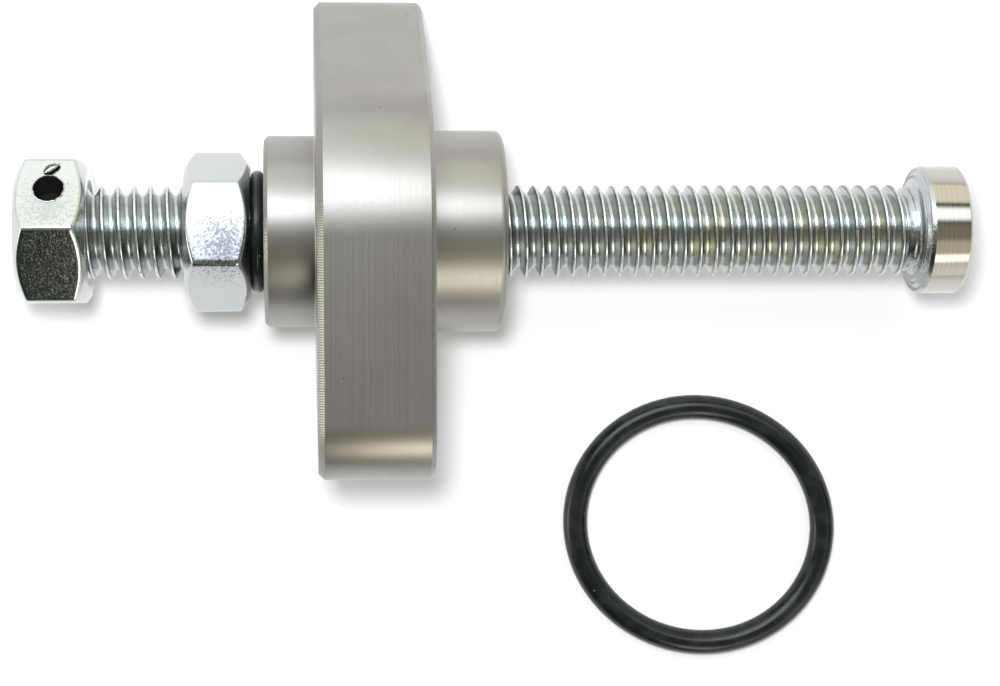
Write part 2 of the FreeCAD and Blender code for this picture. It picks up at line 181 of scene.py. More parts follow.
# Fineness of the meshes
CORNER_STEPS = 3
CORNER_SHARE = 0.45
FLANGE_MID_STEPS = 40
FLANGE_END_STEPS = 44
BOLT_HOLE_SIDES = 64
BOSS_SIDES = 192
BOSS_FILLET_STEPS = 4
SPIGOT_ROUND_STEPS = 8
THREAD_STEPS = 48
FOOT_SIDES = 160
NECK_FILLET_STEPS = 6
ROD_SIDES = 96
NUT_COLUMNS = 264
NUT_CHAMFER_STATIONS = 31
NUT_CHAMFER_GAP = 0.05
NUT_MIDDLE_PARTS = 7
DRILL_SIDES = 48
BURR_SEGMENTS = 72
BURR_SIDES = 8
FLAKE_LENGTHS = 16
FLAKE_WIDTHS = 6
CORD_SIDES = 36
SMALL_RING_SEGMENTS = 120
LARGE_RING_SEGMENTS = 240

# Angles above which an edge stays sharp, in degrees
SHARP_EDGE = 35
SHARP_ON_HARDWARE = 50
SHARP_ON_BURR = 80

# The photograph's camera
PHOTO_WIDTH = 1000
FOCAL_PIXELS = 2143.5
SENSOR_WIDTH = 36.0
CAMERA_TARGET = Vector((7.37, -11.3, 0.0))
CAMERA_DISTANCE = 216.55
CAMERA_TILT = math.radians(5.35)
CAMERA_LEAN = math.radians(-4.67)
CAMERA_ROLL = math.radians(-0.03)
CAMERA_CLIP_START = 0.01

# Ground, shadow lamp and world
FLOOR_REACH = 1500
FLOOR_COLOUR = (0.40, 0.40, 0.405, 1)
FLOOR_GLOW = 0.20
LAMP_SIZE = 27
LAMP_POWER = 0.80
LAMP_OFFSET = Vector((-9, 16.5, 0))
WORLD_COLOUR = (0.022, 0.028, 0.023, 1)

# Lights in the world: tint, strength, then two bands of direction in degrees, each from one angle
# to another with soft edges. The first turns from overhead to the back, the second to the foot.
WORLD_LIGHTS = [
    # Room behind
    ((0.97, 1.0, 0.98), 1.47, (43, 105, 3), (-90, 9, 7)),
    ((1.0, 0.96, 0.80), 1.15, (51.5, 105, 3), (9, 90, 7)),
    # Room in front
    ((0.95, 0.96, 1.0), 0.16, (-105, -74, 5), (-90, 90, 8)),
    ((1.0, 0.98, 0.93), 0.85, (-105, -62, 4), (11, 60, 5)),
    # Softbox behind
    ((0.93, 0.99, 1.10), 5.4, (16.8, 43, 7.5), (-40, 8.5, 4)),
    ((0.96, 0.99, 1.0), 4.4, (20, 40, 2), (8.5, 13, 4)),
    ((0.96, 0.99, 1.0), 1.95, (19, 42, 5), (13, 40, 4)),
    # Warm window in front
    ((1.0, 0.95, 0.82), 4.9, (-68, -40, 4), (2.2, 12, 2)),
    ((1.0, 0.95, 0.82), 2.3, (-60, -45, 4), (12, 50, 3)),
    ((1.0, 0.92, 0.74), 0.39, (-48, -18, 5), (13, 50, 4)),
    # Dim ceiling
    ((1.0, 0.90, 0.74), 0.22, (-32, 12, 6), (-45, 2, 5)),
    ((1.0, 0.90, 0.74), 0.26, (-42, 12, 6), (2, 45, 5)),
    # Walls beyond both ends of the bolt
    ((0.9, 0.95, 1.0), 0.65, (-60, 40, 10), (40, 62, 6)),
    ((0.9, 0.95, 1.0), 0.38, (-60, 40, 10), (-62, -40, 6)),
    # Low light past the head nut, which the housing's chamfers catch
    ((1.0, 0.96, 0.86), 4.2, (-130, 25, 12), (-95, -68, 4)),
]


# Mesh helpers

def around(along, radius, angle):
    """A point at a distance along the bolt, a radius from it and an angle round it."""
    return Vector((along, radius * math.sin(angle), radius * math.cos(angle)))


def round_corners(profile, radius):
    """A polyline with each inner corner replaced by a short curve."""
    points = [Vector(point) for point in profile]
    rounded = [points[0]]
    for before, corner, after in zip(points, points[1:], points[2:]):
        back, on = before - corner, after - corner
        reach = min(
            radius / math.tan(back.angle(on) / 2),
            back.length * CORNER_SHARE,
            on.length * CORNER_SHARE,
        )
        start = corner + back.normalized() * reach
        end = corner + on.normalized() * reach
        for step in range(CORNER_STEPS + 1):
            t = step / CORNER_STEPS
            rounded.append(start * (1 - t) ** 2 + corner * 2 * t * (1 - t) + end * t * t)
    return rounded + [points[-1]]


def arc(centre, radius, first, last, steps):
    """Points of a circular arc in a profile, angles in degrees from the first axis."""
    points = []
    for step in range(steps + 1):
        angle = math.radians(first + (last - first) * step / steps)
        points.append((centre[0] + radius * math.cos(angle), centre[1] + radius * math.sin(angle)))
    return points


def add_ring(bm, points):
    """Vertices at a row of points."""
    return [bm.verts.new(point) for point in points]


def circle(along, radius, sides, centre=(0.0, 0.0)):
    """Points of a circle across the bolt's direction."""
    points = []
    for side in range(sides):
        point = around(along, radius, FULL_TURN * side / sides)
        points.append(point + Vector((0, *centre)))
    return points


def bridge(bm, rings, material=0, runs=None, run_layer=None):
    """Quads between each ring and the next. runs holds the length round the ring at each point."""
    faces = []
    for here, there in zip(rings, rings[1:]):
        count = len(here)
        for index in range(count):
            follow = (index + 1) % count
            face = bm.faces.new((here[index], here[follow], there[follow], there[index]))
            face.material_index = material
            faces.append(face)
            if runs:
                span = (runs[index], runs[index + 1], runs[index + 1], runs[index])
                for loop, run in zip(face.loops, span):
                    loop[run_layer].uv = (run, 0)
    return faces


def lathe(bm, profile, sides, material=0):
    """Turn a profile of (along, radius) points about the bolt's axis."""
    rings = [add_ring(bm, circle(along, radius, sides)) for along, radius in profile]
    bridge(bm, rings, material)
    return rings


def fill_between(bm, rings):
    """A flat face with holes, bounded by rings of vertices."""
    edges = []
    for ring in rings:
        for here, there in zip(ring, ring[1:] + ring[:1]):
            edges.append(bm.edges.get((here, there)) or bm.edges.new((here, there)))
    bmesh.ops.triangle_fill(bm, edges=edges, use_beauty=True, use_dissolve=False)


def cap(bm, ring, along):
    """Close a ring with a fan of triangles to a point on the bolt's axis."""
    middle = bm.verts.new((along, 0, 0))
    for here, there in zip(ring, ring[1:] + ring[:1]):
        bm.faces.new((here, there, middle))


def to_mesh(bm, name, sharp_degrees=SHARP_EDGE):
    """Finish a mesh: one outward side, smooth faces, sharp edges kept."""
    bmesh.ops.recalc_face_normals(bm, faces=bm.faces)
    bmesh.ops.scale(bm, vec=(MM, MM, MM), verts=bm.verts)
    for face in bm.faces:
        face.smooth = True
    mesh = bpy.data.meshes.new(name)
    bm.to_mesh(mesh)
    bm.free()
    mesh.set_sharp_from_angle(angle=math.radians(sharp_degrees))
    return mesh


def add_object(name, data):
    """Put a mesh, lamp or camera in the scene."""
    item = bpy.data.objects.new(name, data)
    bpy.context.scene.collection.objects.link(item)
    return item


def add_piece(name, mesh, materials, body, node):
    """Put a mesh in the scene in place of a node of the frame."""
    piece = add_object(name, mesh)
    for material in materials:
        mesh.materials.append(material)
    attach(piece, body)
    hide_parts(node)


def cut(mesh, cutter_mesh):
    """A mesh with another taken out of it."""
    target = add_object("cut_target", mesh)
    cutter = add_object("cut_tool", cutter_mesh)
    modifier = target.modifiers.new("cut", "BOOLEAN")
    modifier.operation = "DIFFERENCE"
    modifier.solver = "EXACT"
    modifier.object = cutter
    bpy.context.view_layer.update()
    evaluated = target.evaluated_get(bpy.context.evaluated_depsgraph_get())
    result = bpy.data.meshes.new_from_object(evaluated)
    for item in (target, cutter):
        bpy.data.objects.remove(item)
    return result


def join(mesh, other):
    """Add another mesh to a mesh."""
    joined = bmesh.new()
    joined.from_mesh(mesh)
    joined.from_mesh(other)
    joined.to_mesh(mesh)
    joined.free()


# Node helpers

def set_inputs(tree, item, inputs):
    """Link each input of a node to a socket, or set its value."""
    for name, value in inputs.items():
        socket = item.inputs[name]
        if isinstance(value, bpy.types.NodeSocket):
            tree.links.new(value, socket)
        else:
            socket.default_value = value


def add_node(tree, kind, inputs=None, **settings):
    """A shader node with its settings and inputs."""
    item = tree.nodes.new(kind)
    for name, value in settings.items():
        setattr(item, name, value)
    set_inputs(tree, item, inputs or {})
    return item


def new_material(name):
    """A material, its node tree and its shader."""
    material = bpy.data.materials.new(name)
    material.use_nodes = True
    tree = material.node_tree
    return material, tree, tree.nodes["Principled BSDF"]


def math_node(tree, operation, first, second=0.0, third=0.0):
    """The result of a sum on up to three values."""
    inputs = {0: first, 1: second, 2: third}
    return add_node(tree, "ShaderNodeMath", inputs, operation=operation).outputs[0]


def ramp(tree, value, low, high, start=0.0, end=1.0):
    """A value moved smoothly from one range to another, held at both ends."""
    inputs = {"Value": value, "From Min": low, "From Max": high, "To Min": start, "To Max": end}
    item = add_node(tree, "ShaderNodeMapRange", inputs, interpolation_type="SMOOTHSTEP")
    return item.outputs["Result"]


def mix_colour(tree, share, first, second):
    """Two colours mixed, each a socket or its red, green and blue."""
    inputs = {"Factor": share}
    for place, colour in ((6, first), (7, second)):
        inputs[place] = colour if isinstance(colour, bpy.types.NodeSocket) else (*colour, 1)
    return add_node(tree, "ShaderNodeMix", inputs, data_type="RGBA").outputs[2]


def millimetres(tree):
    """The place on the object, in millimetres."""
    place = add_node(tree, "ShaderNodeTexCoord").outputs["Object"]
    inputs = {0: place, "Scale": 1 / MM}
    return add_node(tree, "ShaderNodeVectorMath", inputs, operation="SCALE").outputs[0]


def noise_node(tree, place, scale, detail=2.0, roughness=0.5):
    """Cloudy values from 0 to 1, with a number of clouds to the millimetre."""
    inputs = {"Vector": place, "Scale": scale, "Detail": detail, "Roughness": roughness}
    return add_node(tree, "ShaderNodeTexNoise", inputs).outputs["Fac"]


def bump_node(tree, height, depth, strength=1.0, under=None):
    """A bump of a depth in millimetres."""
    inputs = {"Height": height, "Distance": depth * MM, "Strength": strength}
    if under is not None:
        inputs["Normal"] = under
    return add_node(tree, "ShaderNodeBump", inputs).outputs["Normal"]


def tool_lines(tree, place, per_mm, waver):
    """Fine lines round the bolt, at even places along it, wavering a little."""
    along = add_node(tree, "ShaderNodeSeparateXYZ", {0: place}).outputs["X"]
    drift = noise_node(tree, place, scale=0.35)
    where = math_node(tree, "MULTIPLY_ADD", drift, waver, along)
    inputs = {"W": where, "Scale": per_mm, "Detail": 3.0, "Roughness": 0.7}
    return add_node(tree, "ShaderNodeTexNoise", inputs, noise_dimensions="1D").outputs["Fac"]


def specks(tree, place, per_mm, radius, share):
    """Scattered round specks: 1 on a speck and 0 elsewhere."""
    cells = add_node(tree, "ShaderNodeTexVoronoi", {"Vector": place, "Scale": per_mm})
    chance = add_node(tree, "ShaderNodeSeparateColor", {0: cells.outputs["Color"]}).outputs["Red"]
    near = ramp(tree, cells.outputs["Distance"], radius * 0.6, radius, start=1.0, end=0.0)
    chosen = math_node(tree, "LESS_THAN", chance, share)
    return math_node(tree, "MULTIPLY", near, chosen)


# Materials

def make_aluminium(name, tick_pitch=None):
    """Satin machined aluminium with fine tool lines, and cutter ticks along a chamfer whose grooves
    are painted darker as painted shade.
    """
    material, tree, shader = new_material(name)
    place = millimetres(tree)
    lines = tool_lines(tree, place, per_mm=6.0, waver=0.5)
    cloud = ramp(tree, noise_node(tree, place, scale=0.22, detail=3.0), low=0.35, high=0.65)
    tone = mix_colour(tree, cloud, (0.342, 0.331, 0.297), (0.365, 0.353, 0.319))
    spots = specks(tree, place, per_mm=0.55, radius=0.055, share=0.3)
    colour = mix_colour(tree, spots, tone, (0.09, 0.085, 0.08))
    grain = noise_node(tree, place, scale=7.0)
    fine = bump_node(tree, grain, depth=0.004, strength=0.4)
    normal = bump_node(tree, lines, depth=0.0011, strength=0.5, under=fine)
    if tick_pitch:
        run = add_node(tree, "ShaderNodeUVMap", uv_map="run").outputs["UV"]
        length = add_node(tree, "ShaderNodeSeparateXYZ", {0: run}).outputs["X"]
        wave = math_node(tree, "SINE", math_node(tree, "MULTIPLY", length, FULL_TURN / tick_pitch))
        ticks = ramp(tree, wave, low=0.2, high=0.95, start=1.0, end=0.0)
        normal = bump_node(tree, ticks, depth=0.03, under=normal)
        # The tick grooves are painted darker: painted shade in the grooves
        colour = mix_colour(tree, ticks, (0.2, 0.195, 0.175), colour)
    set_inputs(tree, shader, {
        "Base Color": colour,
        "Roughness": ramp(tree, lines, low=0.3, high=0.7, start=0.33, end=0.40),
        "Normal": normal,
        "Metallic": 1.0,
    })
    return material


def make_zinc(name, cool, warm, stain, stain_place, roughness, grain_depth):
    """Bright zinc plating with bluish and straw tints, a fine grain and stains round one place."""
    material, tree, shader = new_material(name)
    place = millimetres(tree)
    tint = noise_node(tree, place, scale=0.16)
    tone = mix_colour(tree, ramp(tree, tint, low=0.4, high=0.6), cool, warm)
    between = {0: place, 1: stain_place}
    away = add_node(tree, "ShaderNodeVectorMath", between, operation="DISTANCE").outputs["Value"]
    speckle = noise_node(tree, place, scale=3.4, detail=4.0, roughness=0.75)
    fade = -0.053
    shy = math_node(tree, "MULTIPLY_ADD", away, fade, speckle)
    stained = mix_colour(tree, ramp(tree, shy, low=0.3, high=0.52), tone, stain)
    spots = specks(tree, place, per_mm=0.8, radius=0.075, share=0.16)
    grain = noise_node(tree, place, scale=4.5, detail=3.0, roughness=0.7)
    smooth, rough = roughness - 0.05, roughness + 0.07
    set_inputs(tree, shader, {
        "Base Color": mix_colour(tree, spots, stained, (0.07, 0.075, 0.07)),
        "Roughness": ramp(tree, grain, low=0.3, high=0.7, start=smooth, end=rough),
        "Normal": bump_node(tree, grain, grain_depth, strength=0.8),
        "Metallic": 1.0,
    })
    return material


def make_thread_zinc():
    """Zinc on the thread: paler crests, part wear and part painted highlight, a band of painted shade
    just under them, straw tints towards the foot.
    """
    material, tree, shader = new_material("zinc_thread")
    place = millimetres(tree)
    axes = add_node(tree, "ShaderNodeSeparateXYZ", {0: place}).outputs
    across = add_node(tree, "ShaderNodeCombineXYZ", {"Y": axes["Y"], "Z": axes["Z"]}).outputs[0]
    radius = add_node(tree, "ShaderNodeVectorMath", {0: across}, operation="LENGTH").outputs["Value"]
    tint = ramp(tree, noise_node(tree, place, scale=0.3), low=0.45, high=0.62)
    towards_foot = ramp(tree, axes["X"], low=12.0, high=28.0)
    straw = math_node(tree, "MULTIPLY", tint, towards_foot)
    tone = mix_colour(tree, straw, (0.46, 0.497, 0.488), (0.506, 0.51, 0.432))
    nicks = noise_node(tree, place, scale=4.0, detail=3.0, roughness=0.7)
    nick_depth = 0.24
    ragged = math_node(tree, "MULTIPLY_ADD", nicks, nick_depth, radius)
    # A band just under the crests is painted darker: painted shade
    crest_shade_from = ramp(tree, ragged, CREST_RADIUS - 0.2, CREST_RADIUS - 0.06)
    crest_shade_to = ramp(tree, ragged, CREST_RADIUS + 0.02, CREST_RADIUS + 0.1, start=1.0, end=0.0)
    edge = math_node(tree, "MULTIPLY", crest_shade_from, crest_shade_to)
    crest_shaded = mix_colour(tree, edge, tone, (0.21, 0.23, 0.225))
    # The crests are painted paler: part wear, part painted highlight
    crest = ramp(tree, ragged, CREST_RADIUS + 0.05, CREST_RADIUS + 0.13)
    worn_and_highlit = mix_colour(tree, crest, crest_shaded, (0.72, 0.75, 0.74))
    spots = specks(tree, place, per_mm=0.6, radius=0.09, share=0.2)
    grain = noise_node(tree, place, scale=4.0, detail=4.0, roughness=0.7)
    set_inputs(tree, shader, {
        "Base Color": mix_colour(tree, spots, worn_and_highlit, (0.03, 0.033, 0.03)),
        "Roughness": ramp(tree, grain, low=0.3, high=0.7, start=0.14, end=0.26),
        "Normal": bump_node(tree, grain, depth=0.03, strength=0.6),
        "Metallic": 1.0,
    })
    return material


def make_turned_steel():
    """The foot's rim: bare bright steel with turning lines."""
    material, tree, shader = new_material("turned_steel")
    lines = tool_lines(tree, millimetres(tree), per_mm=5.0, waver=0.2)
    pale = ramp(tree, lines, low=0.35, high=0.65)
    set_inputs(tree, shader, {
        "Base Color": mix_colour(tree, pale, (0.525, 0.50, 0.445), (0.575, 0.546, 0.49)),
        "Roughness": ramp(tree, lines, low=0.3, high=0.7, start=0.11, end=0.15),
        "Normal": bump_node(tree, lines, depth=0.0015, strength=0.5),
        "Metallic": 1.0,
    })
    return material


def make_painted_shade(name):
    """Painted shade for the drilled hole's wall: near black, a little mottled."""
    material, tree, shader = new_material(name)
    shade_mottle = noise_node(tree, millimetres(tree), scale=2.0, detail=3.0)
    set_inputs(tree, shader, {
        "Base Color": mix_colour(tree, shade_mottle, (0.003, 0.003, 0.003), (0.012, 0.012, 0.011)),
        "Roughness": 0.6,
        "Specular IOR Level": 0.04,
    })
    return material


def make_rubber():
    """Smooth black nitrile with a little dust."""
    material, tree, shader = new_material("seal_rubber")
    place = millimetres(tree)
    cloud = noise_node(tree, place, scale=0.5, detail=3.0)
    bloom = ramp(tree, cloud, low=0.4, high=0.7)
    tone = mix_colour(tree, bloom, (0.003, 0.0045, 0.004), (0.007, 0.0095, 0.0085))
    dust = specks(tree, place, per_mm=0.9, radius=0.05, share=0.12)
    skin = noise_node(tree, place, scale=6.0)
    set_inputs(tree, shader, {
        "Base Color": mix_colour(tree, dust, tone, (0.25, 0.25, 0.24)),
        "Roughness": ramp(tree, cloud, low=0.3, high=0.7, start=0.20, end=0.30),
        "Specular IOR Level": 0.36,
        "Normal": bump_node(tree, skin, depth=0.006, strength=0.4),
    })
    return material


# Housing

def flange_outline():
    """Points and outward directions round the rolled flange, with the length run so far at each."""
    slope = FLANGE_ROLL
    arcs = [
        (0.0, FLANGE_MID_RADIUS, -slope, slope, FLANGE_MID_STEPS),
        (BOLT_REACH, FLANGE_END_RADIUS, slope, math.pi - slope, FLANGE_END_STEPS),
        (0.0, FLANGE_MID_RADIUS, math.pi - slope, math.pi + slope, FLANGE_MID_STEPS),
        (-BOLT_REACH, FLANGE_END_RADIUS, math.pi + slope, FULL_TURN - slope, FLANGE_END_STEPS),
    ]
    places = []
    for centre, radius, first, last, steps in arcs:
        middle = around(0, centre, math.pi / 2 + FLANGE_ROLL)
        for step in range(steps + 1):
            outward = around(0, 1, first + (last - first) * step / steps + FLANGE_ROLL)
            places.append((middle + radius * outward, outward))
    runs = [0.0]
    for (here, _), (there, _) in zip(places, places[1:] + places[:1]):
        runs.append(runs[-1] + (there - here).length)
    return places, runs


def add_flange_rim(bm, run_layer):
    """The flange's edge, with ticks on its outer chamfer."""
    places, runs = flange_outline()
    rim = round_corners([
        (FLANGE_OUTER_FACE, RIM_CHAMFER + RIM_LAP),
        (FLANGE_OUTER_FACE, RIM_CHAMFER),
        (FLANGE_OUTER_FACE + RIM_CHAMFER, 0.0),
        (FLANGE_MOUNT_FACE - MOUNT_CHAMFER, 0.0),
        (FLANGE_MOUNT_FACE, MOUNT_CHAMFER),
        (FLANGE_MOUNT_FACE, MOUNT_CHAMFER + RIM_LAP),
    ], EDGE_ROUND)
    rings = []
    for along, inset in rim:
        shift = Vector((along, 0, 0))
        rings.append(add_ring(bm, [point + shift - inset * outward for point, outward in places]))
    for here, there, (start, _), (end, _) in zip(rings, rings[1:], rim, rim[1:]):
        chamfered = start >= FLANGE_OUTER_FACE and end <= FLANGE_OUTER_FACE + RIM_CHAMFER
        bridge(bm, [here, there], int(chamfered), runs, run_layer)
    return rings


def turned_outline():
    """The boss, bore and spigot as one profile, from the outer face to the mounting face."""
    boss = arc(
        (FLANGE_OUTER_FACE - BOSS_FILLET, BOSS_RADIUS + BOSS_FILLET),
        BOSS_FILLET, 0, -90, BOSS_FILLET_STEPS,
    )
    boss += round_corners([
        (FLANGE_OUTER_FACE - BOSS_FILLET - BOSS_LAP, BOSS_RADIUS),
        (BOSS_FACE + BOSS_CHAMFER, BOSS_RADIUS),
        (BOSS_FACE, BOSS_RADIUS - BOSS_CHAMFER),
        (BOSS_FACE, BORE_RADIUS + BORE_COUNTERSINK),
        (BOSS_FACE + BORE_COUNTERSINK, BORE_RADIUS),
        (FLANGE_MOUNT_FACE, BORE_RADIUS),
    ], EDGE_ROUND)
    spigot = round_corners([
        (FLANGE_MOUNT_FACE, BORE_RADIUS),
        (SPIGOT_END - BORE_COUNTERSINK, BORE_RADIUS),
        (SPIGOT_END, BORE_RADIUS + BORE_COUNTERSINK),
        (SPIGOT_END, SPIGOT_RADIUS - SPIGOT_ROUND),
    ], EDGE_ROUND)[1:]
    spigot += arc(
        (SPIGOT_END - SPIGOT_ROUND, SPIGOT_RADIUS - SPIGOT_ROUND),
        SPIGOT_ROUND, 0, 90, SPIGOT_ROUND_STEPS,
    )[1:]
    return boss + spigot + [(FLANGE_MOUNT_FACE, SPIGOT_RADIUS)]


def on_boss_chamfer(start, end, radius):
    """Whether a strip of the turned outline is on the boss's outer chamfer."""
    outside = radius > (BORE_RADIUS + BOSS_RADIUS) / 2
    low, high = min(start, end), max(start, end)
    within = low >= BOSS_FACE and high <= BOSS_FACE + BOSS_CHAMFER + CHAMFER_SLACK
    return outside and within and start != end


def add_turned(bm, run_layer):
    """The turned boss, bore and spigot, with ticks on the boss's outer chamfer."""
    outline = turned_outline()
    rings = [add_ring(bm, circle(along, radius, BOSS_SIDES)) for along, radius in outline]
    runs = [FULL_TURN * BOSS_RADIUS * side / BOSS_SIDES for side in range(BOSS_SIDES + 1)]
    for here, there, (start, radius), (end, _) in zip(rings, rings[1:], outline, outline[1:]):
        bridge(bm, [here, there], int(on_boss_chamfer(start, end, radius)), runs, run_layer)
    return rings


def add_bolt_hole(bm, side):
    """One bolt hole: rings at its mouths, with the bore between them."""
    centre = around(0, side * BOLT_REACH, math.pi / 2 + FLANGE_ROLL)
    profile = [
        (FLANGE_OUTER_FACE, BOLT_HOLE_RADIUS + BOLT_HOLE_BREAK),
        (FLANGE_OUTER_FACE + BOLT_HOLE_BREAK, BOLT_HOLE_RADIUS),
        (FLANGE_MOUNT_FACE - BOLT_HOLE_BREAK, BOLT_HOLE_RADIUS),
        (FLANGE_MOUNT_FACE, BOLT_HOLE_RADIUS + BOLT_HOLE_BREAK),
    ]
    rings = []
    for along, radius in profile:
        rings.append(add_ring(bm, circle(along, radius, BOLT_HOLE_SIDES, (centre.y, centre.z))))
    bridge(bm, rings)
    return rings


def make_housing():
    """Flange, boss and spigot in one piece of aluminium."""
    bm = bmesh.new()
    run_layer = bm.loops.layers.uv.new("run")
    borders = [add_flange_rim(bm, run_layer), add_turned(bm, run_layer)]
    borders += [add_bolt_hole(bm, side) for side in (1, -1)]
    fill_between(bm, [rings[0] for rings in borders])
    fill_between(bm, [rings[-1] for rings in borders])
    mesh = to_mesh(bm, "billet_housing")
    materials = [make_aluminium("billet_aluminium"), make_aluminium("billet_edge", TICK_PITCH)]
    add_piece("billet_housing", mesh, materials, "housing", "housing")


# Screw

def thread_profile():
    """One pitch of the thread as (along, radius), from root to root."""
    depth = CREST_RADIUS - ROOT_RADIUS
    flank = depth * math.tan(FLANK_ANGLE)
    foot = (PITCH - CREST_FLAT) / 2 - flank
    points = round_corners([
        (0.0, ROOT_RADIUS),
        (foot, ROOT_RADIUS),
        (foot + flank, CREST_RADIUS),
        (foot + flank + CREST_FLAT, CREST_RADIUS),
        (foot + 2 * flank + CREST_FLAT, ROOT_RADIUS),
        (PITCH, ROOT_RADIUS),
    ], THREAD_ROUND)
    return points[:-1]


def thread_point(along, radius, angle, start, end):
    """A point of the thread with a little wear, held between its ends and run out into the neck."""
    fade = min(max((along - (end - THREAD_RUN_OUT)) / THREAD_RUN_OUT, 0.0), 1.0)
    depth = radius + (NECK_RADIUS - radius) * fade * fade * (3 - 2 * fade)
    place = (along * WEAR_ALONG, WEAR_AROUND * math.sin(angle), WEAR_AROUND * math.cos(angle))
    depth += WEAR_DEPTH * noise.noise(place)
    return around(min(max(along, start), end), depth, -angle)


def add_thread(bm, start, end):
    """A right-hand thread whose last turns run out into the neck."""
    profile = thread_profile()
    first = math.floor((start - THREAD_START) / PITCH) - 2
    turns = math.ceil((end - start) / PITCH) + 4
    rows = []
    for step in range(turns * THREAD_STEPS + 1):
        angle = FULL_TURN * step / THREAD_STEPS
        points = []
        for offset, radius in profile:
            along = (first + step / THREAD_STEPS + THREAD_PHASE) * PITCH + offset
            points.append(thread_point(along, radius, angle, start, end))
        rows.append(add_ring(bm, points))
    for step in range(turns * THREAD_STEPS):
        here, there = rows[step], rows[step + 1]
        for index in range(len(profile) - 1):
            corners = (here[index], here[index + 1], there[index + 1], there[index])
            add_unless_flat(bm, corners, start, end)
        if step + THREAD_STEPS < turns * THREAD_STEPS:
            next_here, next_there = rows[step + THREAD_STEPS], rows[step + THREAD_STEPS + 1]
            add_unless_flat(bm, (here[-1], next_here[0], next_there[0], there[-1]), start, end)


def add_unless_flat(bm, corners, start, end):
    """A face, left out where its corners were all held at one end of the thread."""
    places = [corner.co.x for corner in corners]
    if max(places) > start and min(places) < end:
        bm.faces.new(corners)


def add_foot(bm, underside, bare):
    """The neck and the ridged underside of the foot, then its rim and end."""
    foot = NECK_RUN_IN + [(WASHER_FACE - NECK_FILLET, NECK_RADIUS)]
    foot += arc(
        (WASHER_FACE - NECK_FILLET, NECK_RADIUS + NECK_FILLET),
        NECK_FILLET, -90, 0, NECK_FILLET_STEPS,
    )[1:]
    ridges = [(WASHER_FACE + past, WASHER_RADIUS + beyond) for past, beyond in WASHER_RIDGES]
    neck = (WASHER_FACE, NECK_RADIUS + NECK_FILLET + NECK_LAP)
    foot += round_corners([neck] + ridges + [(RIM_START, FOOT_RADIUS)], RIDGE_ROUND)
    lathe(bm, foot, FOOT_SIDES, underside)
    rim = round_corners([
        (RIM_START, FOOT_RADIUS),
        (FOOT_END - FOOT_EDGE, FOOT_RADIUS),
        (FOOT_END, FOOT_RADIUS - FOOT_EDGE),
        (FOOT_END, FOOT_MIDDLE),
    ], RIM_ROUND)
    rings = lathe(bm, rim, FOOT_SIDES, bare)
    cap(bm, rings[-1], FOOT_END)


def drilled_rod_end(painted_shade):
    """The rod's plain end inside the head nut, with the wire hole through it."""
    bm = bmesh.new()
    profile = round_corners([
        (ROD_START, ROD_MIDDLE),
        (ROD_START, CREST_RADIUS - ROD_CHAMFER_DEPTH),
        (ROD_START + ROD_CHAMFER, CREST_RADIUS),
        (ROD_STUB_END, CREST_RADIUS),
        (ROD_STUB_END, ROD_MIDDLE),
    ], ROD_ROUND)
    rings = lathe(bm, profile, ROD_SIDES)
    cap(bm, rings[0], ROD_START)
    cap(bm, rings[-1], ROD_STUB_END)
    mesh = cut(to_mesh(bm, "rod_end"), hole_cutter())
    # The hole's wall and the rod's sides, seen only through the hole, get near-black painted shade
    darken_hole(mesh, painted_shade)
    for face in mesh.polygons:
        if abs(face.normal.x) < ROD_SIDE_SLOPE:
            face.material_index = painted_shade
    return mesh


def make_screw():
    """The threaded rod with its foot, and its drilled end inside the head nut."""
    bare, painted_shade, underside = 1, 2, 3
    bm = bmesh.new()
    add_thread(bm, head_high.x - THREAD_COVER, THREAD_END)
    loose = [vert for vert in bm.verts if not vert.link_faces]
    bmesh.ops.delete(bm, geom=loose, context="VERTS")
    add_foot(bm, underside, bare)
    mesh = to_mesh(bm, "screw_thread", SHARP_ON_HARDWARE)
    join(mesh, drilled_rod_end(painted_shade))
    foot_zinc = make_zinc(
        "zinc_foot",
        cool=(0.46, 0.497, 0.505),
        warm=(0.515, 0.524, 0.488),
        stain=(0.28, 0.295, 0.295),
        stain_place=(49.8, -2.0, 5.0),
        roughness=0.18,
        grain_depth=0.035,
    )
    materials = [make_thread_zinc(), make_turned_steel(), make_painted_shade("painted_shade_rod_hole"), foot_zinc]
    add_piece("adjuster_screw", mesh, materials, "adjuster", "adjuster_bolt")


# Nuts

def nut_radius(angle, along, thickness):
    """A hexagon with both ends chamfered, its edges a little rounded."""
    total = 0.0
    for side in range(6):
        facing = math.cos(angle - side * math.pi / 3)
        if facing > NUT_SIDE_LIMIT:
            total += (facing / NUT_HALF_FLATS) ** NUT_SHARPNESS
    slope = math.tan(NUT_CHAMFER)
    total += (NUT_FACE_RADIUS + along / slope) ** -NUT_SHARPNESS
    total += (NUT_FACE_RADIUS + (thickness - along) / slope) ** -NUT_SHARPNESS
    return total ** (-1 / NUT_SHARPNESS)


def nut_stations(thickness):
    """Places along a nut, close together where its chamfers are."""
    near = [NUT_CHAMFER_GAP * index for index in range(NUT_CHAMFER_STATIONS)]
    parts = NUT_MIDDLE_PARTS
    middle = [near[-1] + (thickness - 2 * near[-1]) * index / parts for index in range(1, parts)]
    return near + middle + [thickness - place for place in reversed(near)]


